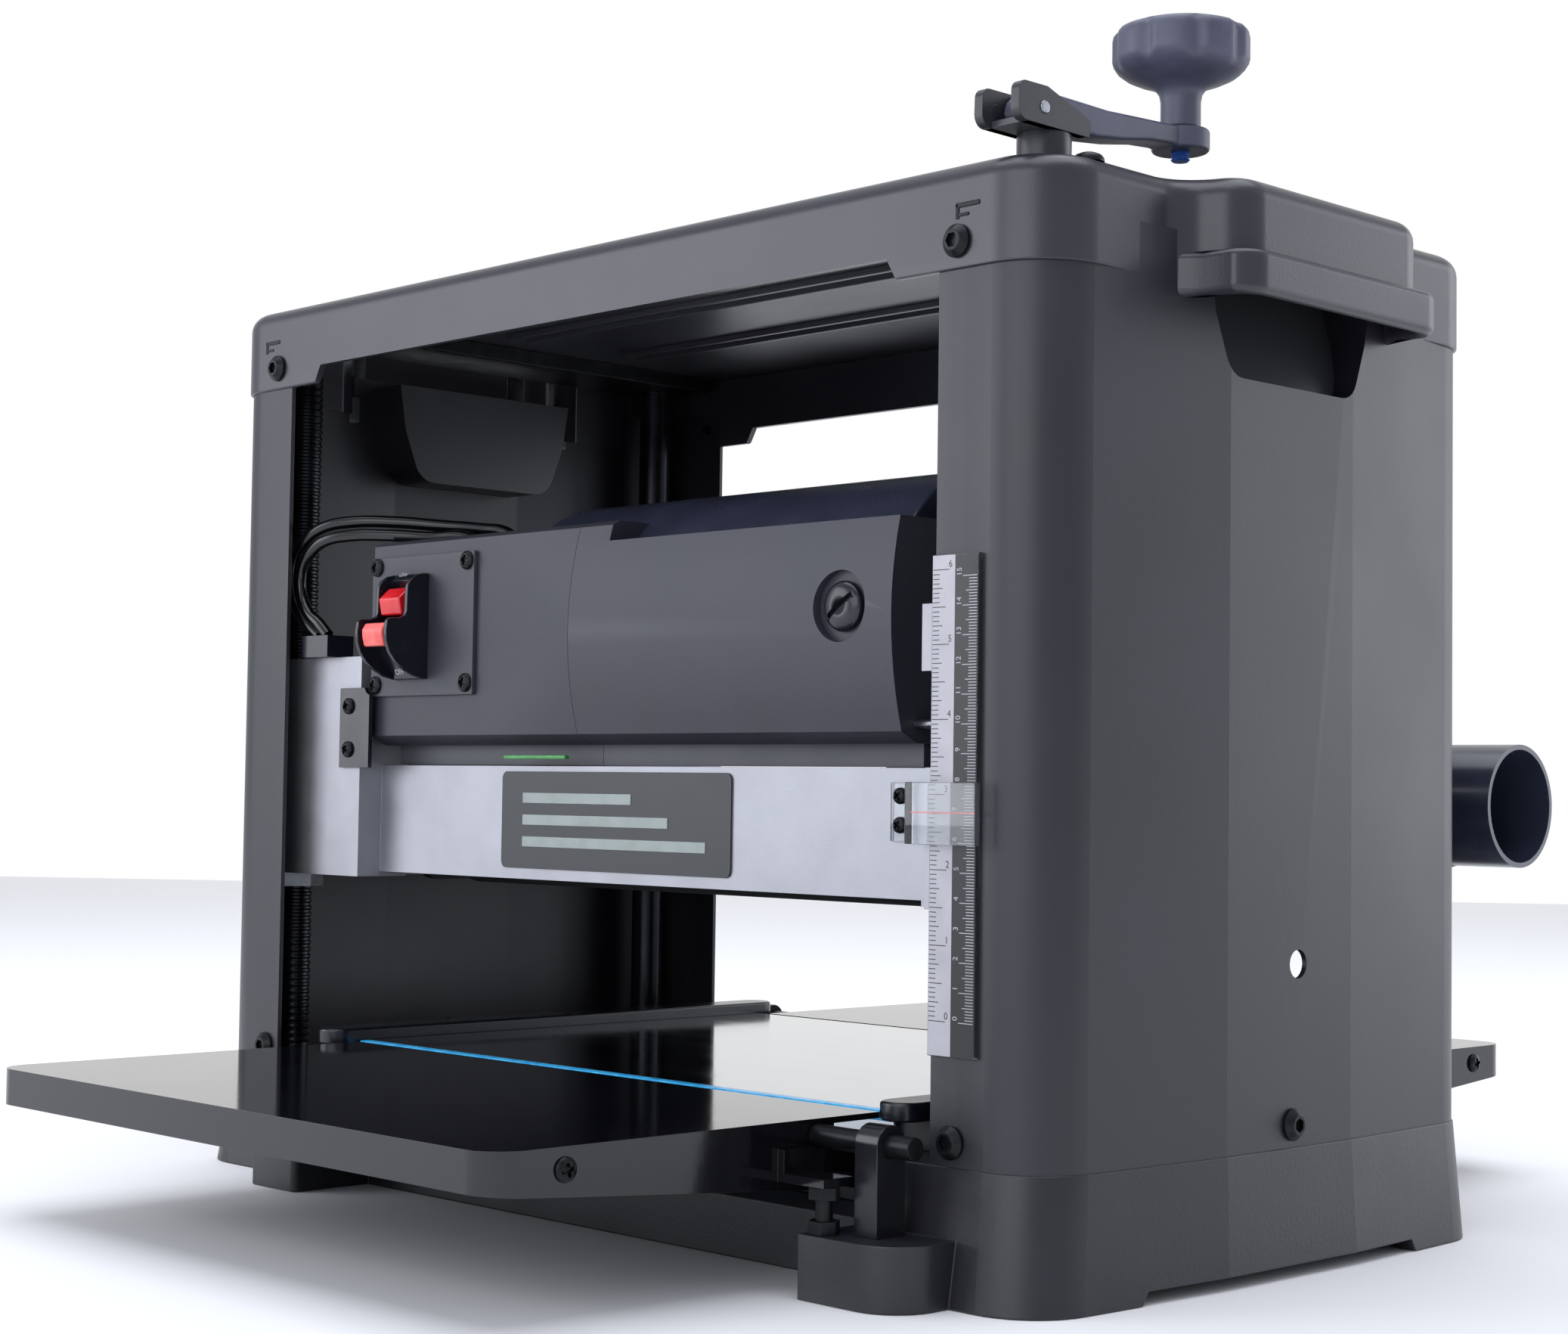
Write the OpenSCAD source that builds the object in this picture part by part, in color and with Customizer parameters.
// Thickness planer: fixed bed, four columns and a motorised cutter carriage that a crank lifts.
// X runs across the bed, +Y is the way the stock is fed, Z is up from the bench.

/* [Capacity] */
// Width of the bed plate between its two rails
bed_w = 324; // [316:2:324]
// Height of the bed surface over the bench
bed_z = 57.9; // [57.5:0.1:58.5]
// Gap between the bed and the cutting circle at rest
gap_rest = 70; // [66:1:74]

/* [Body] */
// Clear width between the column flanges
throat_w = 394; // [390:1:396]
// Depth of the side shells from front to back
shell_d = 265; // [264:1:268]
// Half width of the side shells at their corners
corner_x = 246; // [244:1:248]
// How far the middle flat of each side bulges past the corners
side_bulge = 4.5; // [2:0.5:6]
// Height of the base casting
base_h = 45.3; // [45:0.1:46]
// Height of the top of the cover over the bench
body_h = 386; // [386:1:392]
// Height of the cover's outer skirt
skirt_h = 37.2; // [34:0.2:38]

/* [Tables] */
// Width of the folding tables
table_w = 316; // [300:2:316]
// Distance of the infeed table's front edge from the cutterhead axis
infeed_reach = 289; // [270:1:295]
// Distance of the outfeed table's rear edge from the cutterhead axis
outfeed_reach = 306; // [280:1:308]
// Depth of the table flange at the free edge
flange_h = 13.9; // [12:0.1:16]

/* [Lift] */
// Half spacing of the columns across the machine
post_x = 222.5; // [222:0.5:223]
// Half spacing of the columns front to back
post_y = 108; // [107:0.5:109]
// Diameter of the columns and lead screws
post_d = 16; // [14:0.5:16]
// Length of the crank arm from hub axis to knob axis
crank_r = 76.5; // [70:0.5:85]
// Diameter of the crank knob
knob_d = 50; // [42:1:52]

/* [Cutterhead and motor] */
// Cutting circle diameter
head_d = 48; // [44:1:50]
// Feed roller diameter
roller_d = 32; // [28:1:32]
// Motor can diameter
can_d = 106; // [100:1:106]
// Outside diameter of the dust port
port_d = 52; // [48:1:56]

/* [Hidden] */
$fn = 48;
eps = 0.01;
run_gap = 0.05;

wall = 2;
half_throat = throat_w / 2;
half_d = shell_d / 2;
corner_r = 25;
flat_y = 38;
flat_x = corner_x + side_bulge;
skirt_z = body_h - skirt_h;
arch_h = 7.7;
sight_hole_r = 5.2;
cover_gap = 1.4;
shell_top = skirt_z + 18;
bump_x = 269.5;
bump_y = 56;
bump_root_y = 78;
grip_out = 5.5;
grip_z = skirt_z - 5.5;
grip_h = 15.8;

base_flare_x = 4;
base_flare_y = 4.2;
base_shift_y = -2.8;
base_wall = 5;
deck_t = 4;
front_wall_y = 128;
foot_y = 166;
foot_h = 22;
low_foot_h = 16;
notch_z = 4.5;
bolt_x = 228;
bolt_y = 70;
bolt_r = 3.4;

bed_front = -113;
bed_rear = 131;
plate_t = 1.5;
rail_x = 163;
rail_w = 17;
rail_h = 5.3;

hinge_in_y = -148;
hinge_out_y = 162;
hinge_z = bed_z - 5.6;
hinge_r = 4;
pin_r = 2.5;
stop_x = 174.5;
stop_top = 37.9;
rear_stop_top = 38;
low_stop_x = -156.9;
low_stop_top = 32.2;
rear_foot_y = 150;
rear_arm_t = 5;

screw_r = post_d / 2;
cut_z = bed_z + gap_rest;
head_z = cut_z + head_d / 2;
roller_z = cut_z - 1 + roller_d / 2;
roller_y = 48;
block_z = cut_z + 2.4;
bar_z = cut_z + 4.6;
bar_h = 46.8;
bar_front = -109;
bar_t = 12;
block_front = -121;
block_back = -95;
block_out = 236;
block_h = 96.7;
end_in = 170;
end_out = 183;
deck_plate_t = 2.8;
cradle_xs = [-56, 138];
cradle_w = 18;
motor_y = -64;
motor_z = cut_z + 109.1;
can_x0 = -58;
can_x1 = 162;
bell_t = 9;
shroud_front = -118;
shroud_bulge = 6;
shroud_bottom = cut_z + 60.1;
shroud_top = cut_z + 149.1;
shroud_step = cut_z + 140.6;
seam_x = -10;
port_x = 223.4;
port_y = 205;
port_z = cut_z + 40.4;
sprocket_r = 11;
chain_t = 2.5;
chain_z = 26;
pulley_x = 197;
case_front = 58;
case_low_z = block_z - 4.5;
top_bracket_z = body_h - 10;
lead_d = 5.4;

// Points of an arc, used to round the corners of plan outlines
function arc(c, r, a0, a1, n = 8) =
    [for (i = [0:n]) c + r * [cos(a0 + (a1 - a0) * i / n), sin(a0 + (a1 - a0) * i / n)]];

// Right half of the side outline, from the front flange edge round to the rear flange edge
function side_pts(cx, fx, hd, r, x0) = concat(
    [[x0, -hd]],
    arc([cx - r, -hd + r], r, -90, -3, 12),
    [[fx, -flat_y], [fx, flat_y]],
    arc([cx - r, hd - r], r, 3, 90, 12),
    [[x0, hd]]);

function mirror_pts(p) = [for (i = [len(p) - 1:-1:0]) [-p[i][0], p[i][1]]];

module shell_outline(grow, x0 = 0) {
    polygon(side_pts(corner_x + grow, flat_x + grow, half_d + grow, corner_r + grow, x0));
}

module full_outline(grow) {
    p = side_pts(corner_x + grow, flat_x + grow, half_d + grow, corner_r + grow, 0);
    polygon(concat(p, mirror_pts(p)));
}

// Cover outline: the side outline with the carrying grip bulging out of its middle
module cover_outline(grow) {
    cx = corner_x + cover_gap + grow;
    bx = bump_x + grow;
    hd = half_d + cover_gap + grow;
    r = corner_r + cover_gap + grow;
    p = concat(
        [[0, -hd]],
        arc([cx - r, -hd + r], r, -90, -2),
        [[cx + 1.9, -bump_root_y - grow], [cx + 5, -bump_root_y + 7 - grow]],
        arc([bx - 12, -bump_y + 12 - grow], 12, -60, 0, 5),
        arc([bx - 12, bump_y - 12 + grow], 12, 0, 60, 5),
        [[cx + 5, bump_root_y - 7 + grow], [cx + 1.9, bump_root_y + grow]],
        arc([cx - r, hd - r], r, 2, 90),
        [[0, hd]]);
    polygon(concat(p, mirror_pts(p)));
}

module grip_outline(grow) {
    bx = bump_x + grow;
    polygon(concat(
        [[corner_x, -bump_root_y - grow + 4]],
        arc([bx - 12, -bump_y + 10 - grow], 12, -70, 0, 5),
        arc([bx - 12, bump_y - 10 + grow], 12, 0, 70, 5),
        [[corner_x, bump_root_y + grow - 4]]));
}

// Finger pocket seen from the side, drawn in Y and Z
module pocket_outline(grow) {
    r = 10;
    polygon(concat(
        arc([31, 319 + r], r + grow, -90, -20, 5),
        [[46.5 + grow, 341], [50 + grow, shell_top - 4], [-50 - grow, shell_top - 4],
            [-46.5 - grow, 341]],
        arc([-31, 319 + r], r + grow, 200, 270, 5)));
}

module side_extrude(x, t) {
    translate([x, 0, 0]) rotate([90, 0, 90]) linear_extrude(t) children();
}

module x_rod(x, y, z, r, l) {
    translate([x, y, z]) rotate([0, 90, 0]) cylinder(r = r, h = l);
}

module ring(r_out, r_in, h) {
    difference() {
        cylinder(r = r_out, h = h);
        translate([0, 0, -1]) cylinder(r = r_in, h = h + 2);
    }
}

// Button-head socket screw, head outwards along +Z from the seat at z = 0
module button_screw(r, h, shank_r, shank_l) {
    difference() {
        union() {
            cylinder(r = r, h = h * 0.35);
            translate([0, 0, h * 0.35]) cylinder(r1 = r, r2 = r * 0.62, h = h * 0.65);
        }
        translate([0, 0, h * 0.45]) cylinder(r = r * 0.45, h = h, $fn = 6);
    }
    translate([0, 0, -shank_l]) cylinder(r = shank_r, h = shank_l);
}

// Places where the frame screws sit, as [position, direction name]
cover_screw_z = skirt_z + 9.4;
shell_screw_z = bed_z - 4.4;
screw_x = 206.5;

module frame_screw_places() {
    for (sx = [-1, 1], sy = [-1, 1]) {
        translate([sx * screw_x, sy * (half_d + cover_gap), cover_screw_z])
            rotate([-sy * 90, 0, 0]) children();
        translate([sx * screw_x, sy * half_d, shell_screw_z]) rotate([-sy * 90, 0, 0]) children();
    }
    for (sx = [-1, 1]) translate([sx * flat_x, 1, shell_screw_z]) rotate([0, sx * 90, 0]) children();
}

module post_places(ys = [-1, 1]) {
    for (sx = [-1, 1], sy = ys) translate([sx * post_x, sy * post_y, 0]) children();
}

module foot(x0, x1, y0, y1, h, r) {
    linear_extrude(h) polygon(concat([[x0, y1], [x0, y0]], arc([x1 - r, y0 + r], r, -90, 0), [[x1, y1]]));
}

// Flared body of the base: its outline grows from the deck down to the bench
module base_flare() {
    hull() {
        translate([0, 0, base_h - 0.5]) linear_extrude(0.5) full_outline(0.5);
        translate([0, base_shift_y, 0]) linear_extrude(0.5)
            scale([1 + base_flare_x / flat_x, 1 + base_flare_y / half_d]) full_outline(0.5);
    }
}

module base_casting() {
    color("#2b2c30") difference() {
        union() {
            difference() {
                base_flare();
                translate([0, 0, -eps]) linear_extrude(base_h - deck_t) full_outline(-base_wall);
                for (sy = [-1, 1]) translate([-163, sy * (front_wall_y + 50) - 50, -1])
                    cube([331, 100, base_h + 2]);
                side_extrude(-280, 560) polygon([[-87, -1], [-83, notch_z], [77, notch_z], [80, -1]]);
            }
            for (sy = [-1, 1]) translate([-200, sy * (front_wall_y - 2) - 2, notch_z])
                cube([400, 4, base_h - notch_z]);
            foot(168, 213, -foot_y, -128, foot_h, 18);
            foot(-163, -132, -foot_y, -126, low_foot_h, 3);
            for (sx = [0, 1]) mirror([sx, 0, 0]) mirror([0, 1, 0])
                foot(168, 213, -rear_foot_y, -128, foot_h, 12);
            for (bx = [-1, 1], by = [-1, 1]) translate([bx * bolt_x, by * bolt_y, 0])
                cylinder(r = 9, h = base_h - 1);
        }
        side_extrude(-163, 326) polygon([[-140, 22], [-128, 22], [-111, 43], [-111, 60], [-140, 60]]);
        for (bx = [-1, 1], by = [-1, 1]) translate([bx * bolt_x, by * bolt_y, -1])
            cylinder(r = bolt_r, h = 26);
        post_places() translate([0, 0, 20]) cylinder(r = 11, h = base_h);
        translate([stop_x, -160, 6]) cylinder(r = 3.02, h = foot_h);
        translate([low_stop_x, -159, 4]) cylinder(r = 3.02, h = foot_h);
    }
}

module bed_casting() {
    color("#3a3b3f") difference() {
        translate([-178, bed_front + 3, base_h])
            cube([356, bed_rear - bed_front - 6, bed_z - plate_t - base_h]);
        for (i = [-3:3]) translate([i * 46 - 19, bed_front + 12, base_h - 1])
            cube([38, bed_rear - bed_front - 24, 6.5]);
    }
}

module bed_plate() {
    color("#b9bcc2") difference() {
        translate([-bed_w / 2, bed_front, bed_z - 9]) cube([bed_w, bed_rear - bed_front, 9]);
        translate([-bed_w / 2 - 1, bed_front + plate_t, bed_z - 10])
            cube([bed_w + 2, bed_rear - bed_front - 2 * plate_t, 10 - plate_t]);
    }
}

module bed_rails() {
    color("#17181a") for (sx = [0, 1]) mirror([sx, 0, 0]) translate([0, 0, bed_z - plate_t]) {
        linear_extrude(plate_t + rail_h) polygon(concat(
            arc([rail_x + rail_w / 2, bed_front - 5], rail_w / 2, 180, 360),
            arc([rail_x + rail_w / 2, bed_rear + 5], rail_w / 2, 0, 180)));
    }
}

module side_shell(hole_r) {
    difference() {
        union() {
            difference() {
                translate([0, 0, base_h]) linear_extrude(shell_top - base_h) shell_outline(0, half_throat);
                translate([0, 0, base_h - 1]) linear_extrude(shell_top - base_h + 2)
                    shell_outline(-wall, 0);
            }
            side_extrude(226, flat_x - 226 - 1.2) pocket_outline(wall);
        }
        side_extrude(226 + wall, 40) pocket_outline(0);
        if (hole_r > 0) side_extrude(200, 60) translate([4.5, 110.7]) circle(r = hole_r);
        frame_screw_places() translate([0, 0, -12]) cylinder(r = 2.5, h = 13);
    }
}

module right_side_shell() {
    color("#303136") side_shell(sight_hole_r);
}

module left_side_shell() {
    color("#303136") mirror([1, 0, 0]) side_shell(0);
}

// Trapezoid relief in the skirt over the throat
module skirt_arch() {
    rotate([90, 0, 0]) linear_extrude(2 * half_d + 20, center = true)
        polygon([[-177.6, skirt_z - 1], [177.6, skirt_z - 1], [177.6, skirt_z], [173, skirt_z + arch_h],
            [-173, skirt_z + arch_h], [-177.6, skirt_z]]);
}

module top_cover() {
    inner_h = skirt_h - 3;
    color("#2f3035") difference() {
        union() {
            translate([0, 0, skirt_z]) linear_extrude(skirt_h - 5) cover_outline(0);
            translate([0, 0, body_h - 5]) linear_extrude(3) cover_outline(-1.2);
            translate([0, 0, body_h - 2]) linear_extrude(2) cover_outline(-3.6);
            for (sx = [0, 1]) mirror([sx, 0, 0]) translate([0, 0, grip_z]) linear_extrude(grip_h)
                grip_outline(grip_out);
        }
        translate([0, 0, skirt_z - 10]) linear_extrude(inner_h + 10) full_outline(cover_gap - 1.2);
        for (sx = [0, 1]) mirror([sx, 0, 0]) translate([0, 0, grip_z - 1]) linear_extrude(body_h - grip_z - 4)
            grip_outline(-3);
        skirt_arch();
        frame_screw_places() translate([0, 0, -10]) cylinder(r = 2.5, h = 12);
        translate([post_x, -post_y, body_h - 8]) cylinder(r = 10.5, h = 10);
    }
    color("#2f3035") for (i = [-4:4]) translate([-150, i * 24 - 1.25, body_h - 5.5]) cube([300, 2.5, 3]);
}

module top_brackets() {
    color("#55565a") difference() {
        for (sx = [-1, 1]) translate([sx * 217 - 20, -123, top_bracket_z]) cube([40, 246, 7]);
        post_places() translate([0, 0, top_bracket_z - 1]) cylinder(r = 11, h = 12);
    }
}

module rear_guide_posts() {
    color("#c9ccd1") post_places([1]) translate([0, 0, 20]) {
        cylinder(r = screw_r, h = top_bracket_z + 7 - 20);
        cylinder(r = 11 - 0.02, h = base_h - 20);
        translate([0, 0, top_bracket_z - 20]) cylinder(r = 11 - 0.02, h = 7);
    }
}

module screw_bushes() {
    color("#a9793b") post_places([-1]) {
        translate([0, 0, base_h - deck_t]) ring(11 - 0.02, screw_r + run_gap, deck_t + 2);
        translate([0, 0, top_bracket_z]) ring(11 - 0.02, screw_r + run_gap, 6.5);
    }
}

module chain_loop(hx, r, t, h) {
    linear_extrude(h) difference() {
        polygon(concat(arc([hx, 0], r + t, -90, 90, 16), arc([-hx, 0], r + t, 90, 270, 16)));
        polygon(concat(arc([hx, 0], r, -90, 90, 16), arc([-hx, 0], r, 90, 270, 16)));
    }
}

module drive_chain() {
    color("#4a4a4c") translate([0, -post_y, chain_z]) chain_loop(post_x, sprocket_r + 0.4, chain_t, 5);
}

// Round-topped post that stands on a foot and carries a table's hinge rod
module hinge_post(x, y, foot_z, half_w, r) {
    difference() {
        union() {
            translate([x, y - half_w, foot_z]) cube([10.5, 2 * half_w, hinge_z - foot_z]);
            x_rod(x, y, hinge_z, half_w, 10.5);
        }
        x_rod(x - 1, y, hinge_z, r + 0.02, 13);
    }
}

module hinge_posts() {
    color("#232427") {
        hinge_post(183.5, hinge_in_y, foot_h, 7, hinge_r);
        intersection() {
            hinge_post(-150, hinge_in_y, low_foot_h, 8, pin_r);
            union() {
                translate([-151, hinge_in_y - 8, 0]) cube([13, 8, hinge_z + 3.3]);
                translate([-151, hinge_in_y - 8, 0]) cube([13, 11.4, hinge_z]);
                x_rod(-151, hinge_in_y, hinge_z, 3.5, 13);
            }
        }
        for (sx = [0, 1]) mirror([sx, 0, 0]) {
            hinge_post(183.5, hinge_out_y, foot_h + rear_arm_t, 7, hinge_r);
            difference() {
                translate([168, 137, foot_h]) cube([26, 38, rear_arm_t]);
                translate([stop_x, hinge_out_y + 6, foot_h - 1]) cylinder(r = 3.02, h = rear_arm_t + 2);
            }
        }
    }
}

module hinge_rods() {
    color("#8a8c90") {
        x_rod(151, hinge_in_y, hinge_z, pin_r, 8);
        x_rod(158.4, hinge_in_y, hinge_z, hinge_r, 46.6);
        x_rod(-162, hinge_in_y, hinge_z, pin_r, 25);
        x_rod(-164.5, hinge_in_y, hinge_z, hinge_r, 3);
        for (sx = [0, 1]) mirror([sx, 0, 0]) {
            x_rod(151, hinge_out_y, hinge_z, pin_r, 8);
            x_rod(158.4, hinge_out_y, hinge_z, hinge_r, 46.6);
        }
    }
}

module stop_bolt(x, y, seat_z, top, depth) {
    translate([x, y, 0]) {
        translate([0, 0, seat_z - depth]) cylinder(r = 3, h = top - 4 - seat_z + depth);
        translate([0, 0, top - 4.4]) cylinder(r = 5.6, h = 4.4, $fn = 6);
        translate([0, 0, seat_z]) difference() {
            cylinder(r = 5.6, h = 4.6, $fn = 6);
            translate([0, 0, -1]) cylinder(r = 2.9, h = 7);
        }
    }
}

module stop_bolts() {
    color("#7d7f84") {
        stop_bolt(stop_x, -160, foot_h, stop_top, 9);
        stop_bolt(low_stop_x, -159, low_foot_h, low_stop_top, 9);
        for (sx = [-1, 1])
            stop_bolt(sx * stop_x, hinge_out_y + 6, foot_h + rear_arm_t, rear_stop_top, rear_arm_t);
    }
}

module scale_rule() {
    color("#e6e9ec", 0.6) translate([half_throat + 0.2, -half_d - 2, 82]) cube([21, 2, 169.4]);
}

module frame_screws() {
    color("#1b1c1e") frame_screw_places() button_screw(5.8, 3.4, 2.38, 6);
}

// Room that the two motor cradles take up under the shrouds
module cradle_space(gap) {
    for (x = cradle_xs) translate([x - gap, motor_y - 30 - gap, bar_z + bar_h - 2])
        cube([cradle_w + 2 * gap, 70 + 2 * gap, 17 + gap]);
}

module carriage_casting() {
    color("#c4c6c9") difference() {
        union() {
            translate([-end_in - 1, bar_front, bar_z]) cube([2 * end_in + 2, bar_t, bar_h]);
            translate([-end_in - 1, -bar_front - bar_t, bar_z]) cube([2 * end_in + 2, bar_t, bar_h]);
            for (sx = [0, 1]) mirror([sx, 0, 0]) {
                translate([end_in, bar_front, block_z]) cube([end_out - end_in, -2 * bar_front, bar_h + 2.2]);
                translate([end_out - 0.6, 95, block_z]) cube([block_out - end_out + 0.6, 26, 70]);
            }
            translate([-end_in - 1, bar_front, bar_z + bar_h - deck_plate_t])
                cube([2 * end_in + 2, -2 * bar_front, deck_plate_t]);
            for (x = cradle_xs) difference() {
                translate([x, motor_y - 30, bar_z + bar_h - 1]) cube([cradle_w, 70, 16]);
                x_rod(x - 1, motor_y, motor_z, can_d / 2 + 0.02, cradle_w + 2);
            }
            translate([-block_out, block_front, block_z]) cube([block_out - 155, 26, block_h]);
            translate([end_out - 0.6, block_front, block_z])
                cube([block_out - end_out + 0.6, 26, bar_h + 2.2]);
        }
        post_places() translate([0, 0, block_z - 1]) cylinder(r = 12, h = block_h + 2);
        x_rod(-end_out - 1, 0, head_z, 19, 2 * end_out + 2);
        for (sy = [-1, 1]) x_rod(-end_out - 1, sy * roller_y, roller_z, 11, 2 * end_out + 2);
    }
}

module guide_bushes() {
    color("#b0843f") post_places([1]) translate([0, 0, block_z]) ring(11.98, screw_r + run_gap, 70);
}

module lead_nuts() {
    color("#b0843f") post_places([-1]) translate([0, 0, block_z]) difference() {
        union() {
            cylinder(r = 11.98, h = bar_h + 2.2);
            translate([0, 0, -6.4]) cylinder(r = 12.8, h = 6.4, $fn = 6);
        }
        translate([0, 0, -8]) cylinder(r = screw_r + run_gap, h = 80);
    }
}

module spindle_bearings() {
    color("#9fa2a6") {
        for (x = [-181, 171]) translate([x, 0, head_z]) rotate([0, 90, 0]) ring(18.98, 10 + run_gap, 10);
        for (x = [can_x0, can_x1 - bell_t]) translate([x, motor_y, motor_z]) rotate([0, 90, 0])
            ring(13, 6 + run_gap, bell_t);
    }
}

module roller_bushes() {
    color("#b0843f") for (x = [-182, 171], sy = [-1, 1]) translate([x, sy * roller_y, roller_z])
        rotate([0, 90, 0]) ring(10.98, 8 + run_gap, 11);
}

// Black casing that covers the belt drive at the right of the carriage
module gear_case() {
    top_z = block_z + bar_h + 3;
    color("#1d1e20") {
        difference() {
            translate([end_in, -97, top_z]) cube([51, 157, 97]);
            translate([end_in + 3, -94, top_z + 3]) cube([45, 151, 91]);
            translate([end_out + 3, -case_front + 3, top_z - 1]) cube([32, case_front + 39, 6]);
            x_rod(end_in - 1, motor_y, motor_z, 9, 5);
        }
        difference() {
            translate([end_out, -case_front, case_low_z])
                cube([38, case_front + 45, top_z - case_low_z + eps]);
            translate([end_out - 1, -case_front + 3, case_low_z + 3])
                cube([36, case_front + 39, top_z - case_low_z + 6]);
        }
    }
}

module feed_chain() {
    color("#4a4a4c") translate([-196, 0, roller_z]) rotate([90, 0, 90])
        chain_loop(roller_y, 13.4, chain_t, 5);
}

head_pulley_r = 20;
motor_pulley_r = 13;

// V-belt around both pulleys, drawn along the line between their axes
module drive_belt() {
    dy = -motor_y;
    dz = motor_z - head_z;
    a = atan2(dz, -dy);
    l = sqrt(dy * dy + dz * dz);
    b = asin((head_pulley_r - motor_pulley_r) / l);
    color("#141414") translate([pulley_x + 1, 0, head_z]) rotate([90, 0, 90]) rotate([0, 0, a])
        linear_extrude(10) difference() {
            belt_shape(l, b, 3.2);
            belt_shape(l, b, 0.2);
        }
}

module belt_shape(l, b, t) {
    polygon(concat(
        arc([0, 0], head_pulley_r + t, 90 - b, 270 + b, 20),
        arc([l, 0], motor_pulley_r + t, -90 + b, 90 - b, 14)));
}

// Side profile of the motor shroud in Y and Z, with a bowed front
module shroud_profile(back, bulge, t) {
    n = 12;
    top = shroud_top;
    h = top - shroud_bottom;
    polygon(concat(
        [[back, shroud_bottom + t]],
        [[shroud_front + 8, shroud_bottom + t]],
        [for (i = [0:n]) let (u = i / n) [shroud_front + t - bulge * 4 * u * (1 - u),
            shroud_bottom + t + 4 + (h - 6 - 2 * t) * u]],
        [[shroud_front + 4 + t, top - t]],
        [[back, top - t]]));
}

// Front that swells from flat beside the switch to bowed at the seam
module shroud_loft(x0, x1, back, t) {
    hull() {
        side_extrude(x0, 0.5) shroud_profile(back, 0, t);
        side_extrude(x1 - 0.5, 0.5) shroud_profile(back, shroud_bulge, t);
    }
}

// Wall under a shroud that closes the gap down to the carriage deck
module shroud_skirt(x0, x1) {
    translate([x0, -104, bar_z + bar_h + 0.3]) cube([x1 - x0, 3, shroud_bottom + 1 - bar_z - bar_h]);
}

module motor_shroud_left() {
    color("#3b3c41") difference() {
        union() {
            side_extrude(-151, 79) shroud_profile(-34, 0, 0);
            shroud_loft(-72, seam_x, -34, 0);
            shroud_skirt(-148, seam_x);
        }
        side_extrude(-148, 76) shroud_profile(-30, 0, 3);
        shroud_loft(-72.5, seam_x + 1, -30, 3);
        x_rod(can_x0, motor_y, motor_z, can_d / 2 + 0.02, 60);
        cradle_space(0.4);
        for (p = [outer_lead[0], inner_lead[0]]) translate([p[0], p[1], p[2] - 4]) cylinder(r = 4.1, h = 5);
    }
}

module motor_shroud_right() {
    color("#3b3c41") difference() {
        union() {
            side_extrude(seam_x + 0.2, 168 - seam_x - 0.2) shroud_profile(-84, shroud_bulge, 0);
            shroud_skirt(seam_x + 0.2, 166);
        }
        translate([10, -130, shroud_step]) cube([160, 60, 20]);
        x_rod(seam_x - 1, motor_y, motor_z, can_d / 2 + 0.02, 173);
        translate([142, shroud_front - shroud_bulge - 2, motor_z])
            rotate([-90, 0, 0]) cylinder(r = 13, h = 6);
        translate([142, -110, motor_z]) rotate([90, 0, 0]) cylinder(r = 8, h = 20);
        cradle_space(0.4);
    }
}

module motor_can() {
    color("#191a1d") difference() {
        x_rod(can_x0, motor_y, motor_z, can_d / 2, can_x1 - can_x0);
        x_rod(can_x0 + bell_t, motor_y, motor_z, can_d / 2 - 3, can_x1 - can_x0 - 2 * bell_t);
        x_rod(can_x0 - 1, motor_y, motor_z, 13.02, can_x1 - can_x0 + 2);
    }
}

module motor_field() {
    color("#8c5a33") translate([-20, motor_y, motor_z]) rotate([0, 90, 0]) ring(can_d / 2 - 3.05, 31, 90);
}

module motor_brushes() {
    color("#2a2a2a") for (sy = [-1, 1]) translate([137, motor_y + sy * 30.3 - 14, motor_z - 5])
        cube([9, 28, 10]);
}

module brush_cap() {
    color("#101113") translate([142, shroud_front - 2, motor_z]) rotate([90, 0, 0]) difference() {
        union() {
            cylinder(r = 9.2, h = 2);
            translate([0, 0, 2]) cylinder(r1 = 9.2, r2 = 6.5, h = 2.2);
            translate([0, 0, shroud_front - 2 - motor_y + can_d / 2 + 0.1])
                cylinder(r = 7.9, h = -(shroud_front - 2 - motor_y + can_d / 2 + 0.1) + eps);
        }
        translate([-7, -0.8, 2.4]) cube([14, 1.6, 3]);
    }
}

module switch_plate() {
    color("#36373b") translate([-149.5, shroud_front - 2, cut_z + 81.1]) difference() {
        cube([72.5, 2, 60.5]);
        translate([22, -1, 11]) cube([17, 4, 40]);
    }
}

switch_x = -131;
switch_w = 23;
rocker_y = -127;
rocker_z = cut_z + 121.1;

module switch_body() {
    z = cut_z;
    color("#0f1012") difference() {
        side_extrude(switch_x, switch_w) polygon([[-120, z + 88], [-122.5, z + 88], [-131, z + 91],
            [-139, z + 96], [-142, z + 102], [-142, z + 111], [-139, z + 113.4], [-133, z + 113.6],
            [-131.5, z + 115], [-131.5, z + 128.5], [-127, z + 130], [-122.5, z + 133.5], [-120, z + 133.5]]);
        x_rod(switch_x + 3.5, rocker_y, rocker_z, 6.7, 16);
        translate([switch_x + 3.5, -160, z + 100.9]) cube([16, 28.8, 11.2]);
    }
}

module switch_rocker() {
    color("#d8242f") difference() {
        x_rod(switch_x + 4, rocker_y, rocker_z, 6.4, 15);
        translate([switch_x + 3, rocker_y - 9, rocker_z - 1]) rotate([28, 0, 0]) translate([0, -4, 0])
            cube([17, 8, 12]);
    }
}

module safety_key() {
    color("#ef6b66") translate([switch_x + 4, -141.4, cut_z + 101.3]) cube([15, 9, 10.4]);
}

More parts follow.
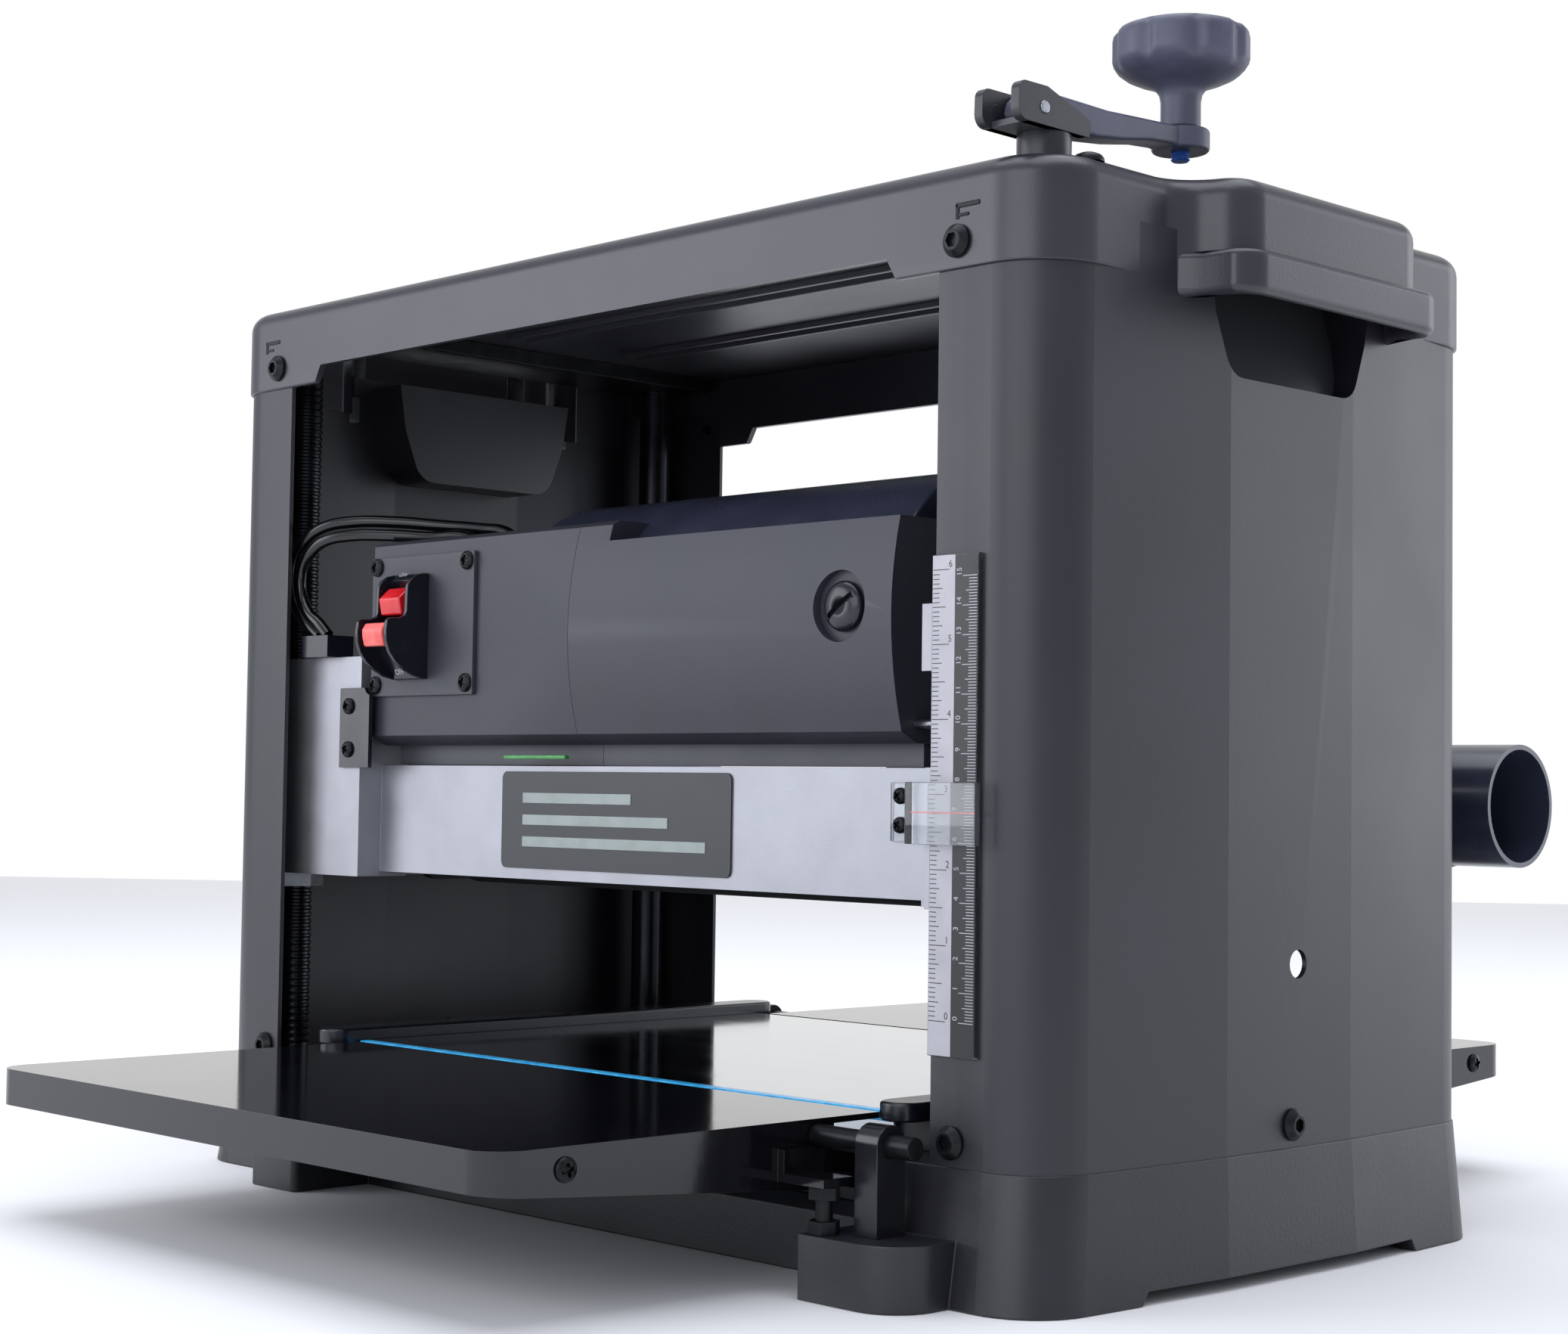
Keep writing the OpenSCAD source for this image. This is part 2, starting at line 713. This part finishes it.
module motor_bracket() {
    color("#1a1b1d") translate([-168, block_front - 2, cut_z + 50.1]) difference() {
        cube([22, 2, 35]);
        for (z = [8, 27]) translate([7, -1, z]) rotate([-90, 0, 0]) cylinder(r = 2.1, h = 4);
        translate([22.5, -1, 36]) rotate([-90, 0, 0]) cylinder(r = 4.2, h = 4);
    }
}

module pan_screw(r) {
    cylinder(r = r, h = 1.2);
    translate([0, 0, 1.2]) cylinder(r1 = r, r2 = r * 0.6, h = 1);
}

module carriage_screws() {
    color("#17181a") {
        for (x = [-145.5, -81.5], z = [86.1, 137.6]) translate([x, shroud_front - 2, cut_z + z])
            rotate([90, 0, 0]) pan_screw(4);
        for (z = [58.1, 77.1]) translate([-161, block_front - 2, cut_z + z])
            rotate([90, 0, 0]) pan_screw(3.6);
        for (z = [31, 41.4]) translate([161.5, bar_front - 2, cut_z + z]) rotate([90, 0, 0]) pan_screw(3);
    }
}

// Smooth route through hand-placed points
function mid(p, i, u) =
    let (a = p[max(i - 1, 0)], b = p[i], c = p[i + 1], d = p[min(i + 2, len(p) - 1)])
    0.5 * ((2 * b) + (c - a) * u + (2 * a - 5 * b + 4 * c - d) * u * u + (3 * b - a - 3 * c + d) * u * u * u);
function route(p, n) = concat([for (i = [0:len(p) - 2], k = [0:n - 1]) mid(p, i, k / n)], [p[len(p) - 1]]);
function unit(v) = v / norm(v);

module tube(p, r, sides) {
    m = len(p);
    rings = [for (i = [0:m - 1])
        let (t = unit(p[min(i + 1, m - 1)] - p[max(i - 1, 0)]),
            u = unit(cross(t, [0, 1, 0])),
            v = cross(t, u))
        for (k = [0:sides - 1]) p[i] + r * (cos(360 * k / sides) * u + sin(360 * k / sides) * v)];
    polyhedron(rings, concat(
        [[for (k = [0:sides - 1]) k]],
        [for (i = [0:m - 2], k = [0:sides - 1]) let (a = i * sides + k, b = i * sides + (k + 1) % sides)
            [a, a + sides, b + sides, b]],
        [[for (k = [sides - 1:-1:0]) (m - 1) * sides + k]]));
}

lead_z = cut_z - 127.9;
outer_lead = [[-98, -80, 277], [-104, -82, 281.5], [-116, -86, 283.5], [-135, -94, 285.5],
    [-155, -104, 287.5], [-174, -114, 288], [-188, -120, 286], [-198, -122.5, 281],
    [-205, -123, 273.5], [-207.5, -123, 264], [-205.5, -123, 254], [-200, -123, 246.5],
    [-193, -122, 240.5], [-188, -121, 237]];
inner_lead = [[-112, -92, 277], [-118, -94, 279.5], [-135, -100, 279.8], [-155, -109, 281.3],
    [-173, -117, 281.5], [-185, -121.5, 279.5], [-193, -123, 275], [-198.5, -123.5, 269],
    [-200.5, -123.5, 262], [-198.5, -123.5, 254], [-193.5, -123.5, 247.5], [-186, -123, 242.5],
    [-180, -122, 237]];

module motor_leads() {
    color("#0c0c0e") translate([0, 0, lead_z]) {
        tube(route(outer_lead, 3), lead_d / 2, 10);
        tube(route(inner_lead, 3), lead_d / 2, 10);
    }
}

module lead_clamp() {
    color("#141518") difference() {
        translate([-193, -127, block_z + block_h]) cube([20, 14, 9.7]);
        for (p = [outer_lead[len(outer_lead) - 1], inner_lead[len(inner_lead) - 1]])
            translate([p[0], p[1], block_z + block_h + 6.5]) cylinder(r = 3.7, h = 5);
    }
}

module badge_plate() {
    color("#55585c") translate([-68, bar_front - 0.8, cut_z + 9.1]) cube([140, 0.8, 40]);
}

// Clear pointer: a pad on the bar, a slanted web and a lens in front of the rule
module pointer() {
    color("#dfe6ea", 0.5) translate([0, 0, cut_z + 25.2]) linear_extrude(21)
        polygon([[156, bar_front], [156, bar_front - 2], [167, bar_front - 2], [190, -139.5], [222, -139.5],
            [222, -136.5], [192, -136.5], [168, bar_front]]);
}

// Chute across the back of the carriage that turns into the round port on the right
module dust_hood() {
    chute_back = 150;
    elbow_x = 163;
    elbow_w = 29;
    color("#141518") difference() {
        union() {
            translate([-180, -bar_front, bar_z + 1]) cube([360, chute_back + bar_front, 44]);
            translate([178, 121.6, bar_z + 1]) cube([elbow_x + elbow_w - 178, chute_back - 121.6, 44]);
            hull() {
                translate([elbow_x, chute_back - 6, bar_z + 1]) cube([elbow_w, 6, 44]);
                x_rod(elbow_x + 3, port_y, port_z, port_d / 2, elbow_w - 3);
            }
            x_rod(elbow_x + elbow_w, port_y, port_z, port_d / 2, port_x - elbow_x - elbow_w);
            x_rod(elbow_x + elbow_w - 3, port_y, port_z, port_d / 2 - 1, 6);
        }
        translate([-177, -bar_front - 1, bar_z + 4]) cube([354, chute_back + bar_front - 2, 38]);
        translate([elbow_x + 4, chute_back - 10, bar_z + 8]) cube([22, 42, 30]);
        x_rod(elbow_x + 6, port_y, port_z, port_d / 2 - 2.1, 80);
    }
}

module tie_rod() {
    color("#d5d8dc") x_rod(168, -110, cut_z + 67, 2, 44);
}

// Seats of the inserts along three helical rows
module insert_places() {
    for (row = [0:2], i = [0:8]) translate([-150 + i * 37 + row * 6, 0, head_z])
        rotate([row * 120 + i * 14, 0, 0]) translate([0, 0, head_d / 2 - 3]) children();
}

module cutterhead() {
    color("#a6a9ad") {
        difference() {
            x_rod(-165, 0, head_z, head_d / 2 - 1.4, 330);
            insert_places() translate([-7.02, -2.02, -0.02]) cube([14.04, 4.04, 6]);
        }
        x_rod(-186, 0, head_z, 10, 372);
        x_rod(186 - eps, 0, head_z, 8, 28);
    }
}

module cutter_inserts() {
    color("#e2e4e6") insert_places() translate([-7, -2, 0]) cube([14, 4, 2.9]);
}

module head_pulley() {
    color("#8d9094") translate([pulley_x, 0, head_z]) rotate([0, 90, 0]) ring(head_pulley_r, 8.02, 12);
}

module feed_roller(y) {
    x_rod(-161.5, y, roller_z, roller_d / 2, 323);
    x_rod(-197, y, roller_z, 8, 380);
    x_rod(-196, y, roller_z, 13, 5);
}

module front_feed_roller() {
    color("#2a2b2d") feed_roller(-roller_y);
}

module rear_feed_roller() {
    color("#2a2b2d") feed_roller(roller_y);
}

module motor_armature() {
    color("#a5643a") {
        x_rod(-75, motor_y, motor_z, 6, 288);
        x_rod(-15, motor_y, motor_z, 30, 80);
        x_rod(128, motor_y, motor_z, 16, 22);
    }
}

module motor_fan() {
    color("#4d4f52") translate([92, motor_y, motor_z]) rotate([0, 90, 0]) {
        ring(14, 6.02, 14);
        ring(44, 13.9, 3);
        for (i = [0:10]) rotate([0, 0, i * 360 / 11]) translate([13.8, -1.2, 0]) cube([29, 2.4, 13]);
    }
}

module motor_pulley() {
    color("#8d9094") translate([pulley_x, motor_y, motor_z])
        rotate([0, 90, 0]) ring(motor_pulley_r, 6.02, 12);
}

module lead_screw(top) {
    translate([0, -post_y, chain_z - 3]) cylinder(r = screw_r, h = top - chain_z + 3);
}

module right_lead_screw() {
    color("#b9bcc0") translate([post_x, 0, 0]) lead_screw(body_h + 0.3);
}

module left_lead_screw() {
    color("#b9bcc0") translate([-post_x, 0, 0]) lead_screw(top_bracket_z + 6.5);
}

module lift_sprocket(sx) {
    translate([sx * post_x, -post_y, chain_z - 1]) ring(sprocket_r, screw_r + 0.02, 7);
}

module right_lift_sprocket() {
    color("#6d6f73") lift_sprocket(1);
}

module left_lift_sprocket() {
    color("#6d6f73") lift_sprocket(-1);
}

hub_z = body_h + 2;
arm_pin_y = -post_y - 11.5;
arm_pin_z = hub_z + 14.5;
arm_z = hub_z + 11.5;
knob_z = body_h + 32;
knob_y = -post_y + crank_r;

// Boss on the lead screw with a channel that holds the folding arm
module crank_hub() {
    color("#303238") {
        translate([post_x, -post_y, body_h + 0.3]) cylinder(r = 9.5, h = 10.3);
        difference() {
            translate([post_x - 10, -post_y - 25, hub_z + 8.4]) cube([20, 38, 13.6]);
            translate([post_x - 6.2, -post_y - 22, hub_z + 10.6]) cube([12.4, 40, 20]);
            x_rod(post_x - 12, arm_pin_y, arm_pin_z, 2, 24);
        }
        x_rod(post_x - 10, arm_pin_y, arm_pin_z, 1.98, 20);
    }
}

module crank_arm() {
    color("#34363c") difference() {
        union() {
            x_rod(post_x - 6, arm_pin_y, arm_pin_z, 3.7, 12);
            translate([post_x - 6, arm_pin_y, arm_z]) cube([12, 39, 10]);
            translate([post_x - 6, 0, 0]) rotate([90, 0, 90]) linear_extrude(12)
                polygon([[arm_pin_y + 38, arm_z], [arm_pin_y + 38, arm_z + 10], [knob_y - 8, knob_z - 3],
                    [knob_y + 2, knob_z - 3], [knob_y + 2, knob_z - 14], [knob_y - 10, knob_z - 14]]);
            translate([post_x, knob_y, knob_z - 14]) cylinder(r = 10, h = 11);
        }
        x_rod(post_x - 12, arm_pin_y, arm_pin_z, 2 + run_gap, 24);
    }
    color("#2a5fb0") translate([post_x, knob_y, knob_z - 17]) cylinder(r = 3.5, h = 8);
    color("#34363c") translate([post_x, knob_y, knob_z - 5]) cylinder(r = 3, h = 26);
}

module crank_knob() {
    rim_z = knob_z + 17;
    color("#4a4c52") difference() {
        translate([post_x, knob_y, 0]) rotate_extrude() polygon([[3 + run_gap, knob_z - 2.5],
            [7.3, knob_z - 2.5], [7.3, knob_z + 6], [12, rim_z - 7], [knob_d / 2 - 2, rim_z],
            [knob_d / 2, rim_z + 2], [knob_d / 2, rim_z + 12.5], [knob_d / 2 - 3, rim_z + 14.5],
            [6, rim_z + 15.5], [3 + run_gap, rim_z + 15.5]]);
        for (i = [0:7]) translate([post_x, knob_y, rim_z - 2]) rotate([0, 0, i * 45 + 6])
            translate([knob_d / 2 + 5.4, 0, 0]) cylinder(r = 7, h = 22);
    }
}

// Folding table: a tray with a flange that deepens towards its hinge
module table(reach, inner, hinge) {
    r = 13;
    hw = table_w / 2;
    deep = 24.9;
    difference() {
        translate([0, 0, bed_z - deep]) linear_extrude(deep) polygon(concat(
            [[-hw, inner], [-hw, reach - r]], arc([-hw + r, reach - r], r, 180, 90),
            arc([hw - r, reach - r], r, 90, 0), [[hw, inner]]));
        translate([0, 0, bed_z - deep - 1]) linear_extrude(deep - 1) polygon(concat(
            [[-hw + 2, inner - 3], [-hw + 2, reach - r]], arc([-hw + r, reach - r], r - 2, 180, 90),
            arc([hw - r, reach - r], r - 2, 90, 0), [[hw - 2, inner - 3]]));
        side_extrude(-hw - 1, table_w + 2) polygon([[inner + 26, bed_z - deep - 1],
            [inner + 26, bed_z - deep], [reach, bed_z - flange_h], [reach + 5, bed_z - flange_h],
            [reach + 5, bed_z - deep - 1]]);
        side_extrude(-hw - 1, table_w + 2) polygon([[inner - 1, bed_z - deep - 1], [inner - 1, bed_z - 2.2],
            [hinge - 9, bed_z - 2.2], [hinge - 9, bed_z - deep - 1]]);
        for (sx = [-1, 1]) x_rod(sx * hw - 5, hinge, hinge_z, pin_r + run_gap, 10);
    }
}

// Tab on the side of a table that comes down on its stop bolt
module stop_tab(y, top) {
    translate([table_w / 2 - eps, y, top + 0.2]) cube([22, 14, 3]);
    translate([table_w / 2 - eps, y, top + 3.1]) cube([3, 14, 8]);
}

module infeed_table() {
    color("#0e0f12") mirror([0, 1, 0]) {
        table(infeed_reach, 116, -hinge_in_y);
        stop_tab(-hinge_in_y + 4, stop_top);
    }
}

module outfeed_table() {
    color("#0e0f12") {
        table(outfeed_reach, 134, hinge_out_y);
        for (sx = [0, 1]) mirror([sx, 0, 0]) stop_tab(hinge_out_y + 4, rear_stop_top);
    }
}

module infeed_table_screws() {
    color("#17181a") for (sx = [-1, 1]) translate([sx * table_w / 2, -259.4, bed_z - 7.4])
        rotate([0, sx * 90, 0]) pan_screw(4.2);
}

base_casting();
bed_casting();
bed_plate();
bed_rails();
right_side_shell();
left_side_shell();
top_cover();
top_brackets();
rear_guide_posts();
screw_bushes();
drive_chain();
hinge_posts();
hinge_rods();
stop_bolts();
scale_rule();
frame_screws();
carriage_casting();
guide_bushes();
lead_nuts();
spindle_bearings();
roller_bushes();
gear_case();
feed_chain();
drive_belt();
motor_shroud_left();
motor_shroud_right();
motor_can();
motor_field();
motor_brushes();
brush_cap();
switch_plate();
switch_body();
motor_bracket();
carriage_screws();
motor_leads();
lead_clamp();
badge_plate();
pointer();
dust_hood();
tie_rod();
cutterhead();
cutter_inserts();
head_pulley();
front_feed_roller();
rear_feed_roller();
motor_armature();
motor_fan();
motor_pulley();
right_lead_screw();
left_lead_screw();
right_lift_sprocket();
left_lift_sprocket();
crank_hub();
crank_arm();
crank_knob();
infeed_table();
outfeed_table();
infeed_table_screws();
switch_rocker();
safety_key();
